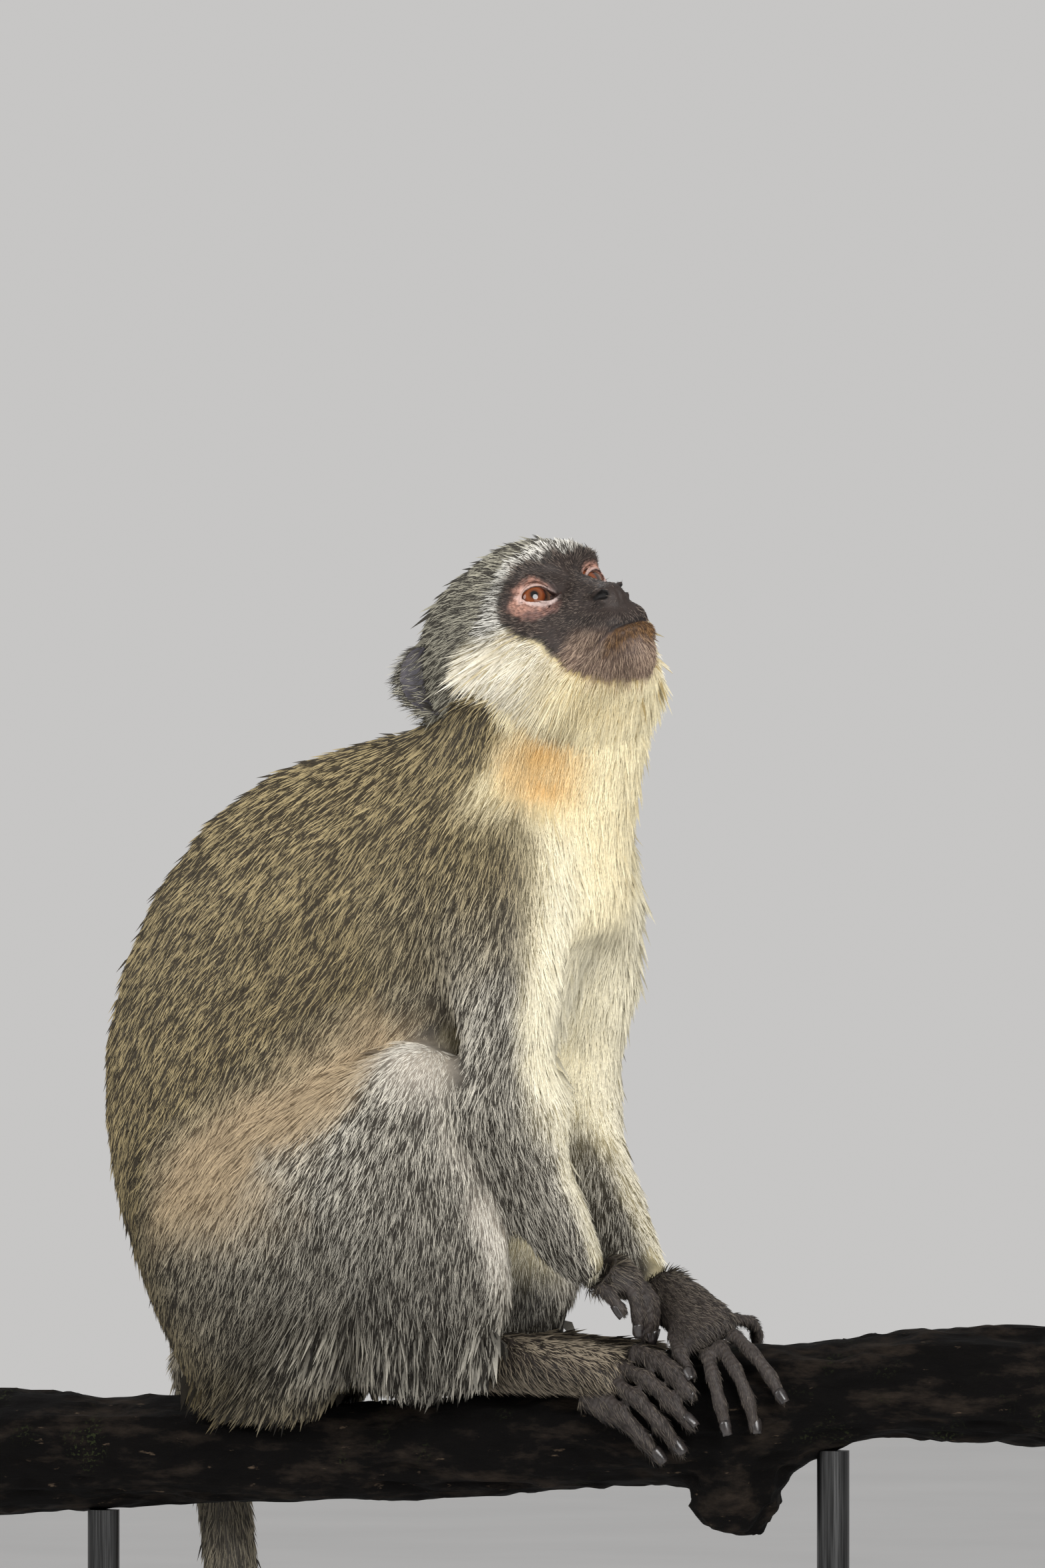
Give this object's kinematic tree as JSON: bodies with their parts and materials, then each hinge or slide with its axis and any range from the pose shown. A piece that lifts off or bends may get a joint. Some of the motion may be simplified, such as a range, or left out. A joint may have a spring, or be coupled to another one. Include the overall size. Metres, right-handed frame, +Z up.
{
  "type": "vervet monkey display model",
  "caption": "Still, life-size vervet monkey seated on a cut length of branch, head raised, tail hanging, on a plain two-rod display stand.",
  "frame": {"origin": "middle of the display stand's underside, on the floor", "axes": "+Z up, +X the way the monkey's body faces along the branch, +Y to the monkey's left"},
  "size_m": [0.5524, 0.27, 0.9684],
  "materials": {
    "stand_wood": "dark satin wood",
    "stand_steel": "dark blackened steel",
    "bark": "rough near-black bark with pale flecks",
    "fur_back": "ticked olive-grey fur",
    "fur_limb": "ticked grey fur",
    "fur_pale": "long cream-white fur",
    "face_skin": "dark slate skin",
    "dark_skin": "blackish skin of hands and feet",
    "eye": "glossy orange-brown eye"
  },
  "bodies": {
    "root": {"stand_base": "stand_wood", "stand_rod_behind": "stand_steel", "stand_rod_ahead": "stand_steel", "perch_branch": "bark", "head": "fur_pale", "ear_left": "face_skin", "ear_right": "face_skin", "eye_left": "eye", "eye_right": "eye", "neck": "fur_pale", "chest": "fur_back", "loin": "fur_back", "upper_arm_left": "fur_limb", "upper_arm_right": "fur_limb", "forearm_left": "fur_limb", "forearm_right": "fur_limb", "hand_left": "dark_skin", "hand_right": "dark_skin", "thumb_left": "dark_skin", "index_left": "dark_skin", "middle_left": "dark_skin", "ring_left": "dark_skin", "little_left": "dark_skin", "thumb_right": "dark_skin", "index_right": "dark_skin", "middle_right": "dark_skin", "ring_right": "dark_skin", "little_right": "dark_skin", "thigh_left": "fur_limb", "thigh_right": "fur_limb", "shin_left": "fur_limb", "shin_right": "fur_limb", "foot_left": "dark_skin", "foot_right": "dark_skin", "toe_hallux_left": "dark_skin", "toe_second_left": "dark_skin", "toe_third_left": "dark_skin", "toe_fourth_left": "dark_skin", "toe_fifth_left": "dark_skin", "toe_hallux_right": "dark_skin", "toe_second_right": "dark_skin", "toe_third_right": "dark_skin", "toe_fourth_right": "dark_skin", "toe_fifth_right": "dark_skin", "tail_1": "fur_back", "tail_2": "fur_back", "tail_3": "fur_back", "tail_4": "fur_back"}
  },
  "joints": []
}
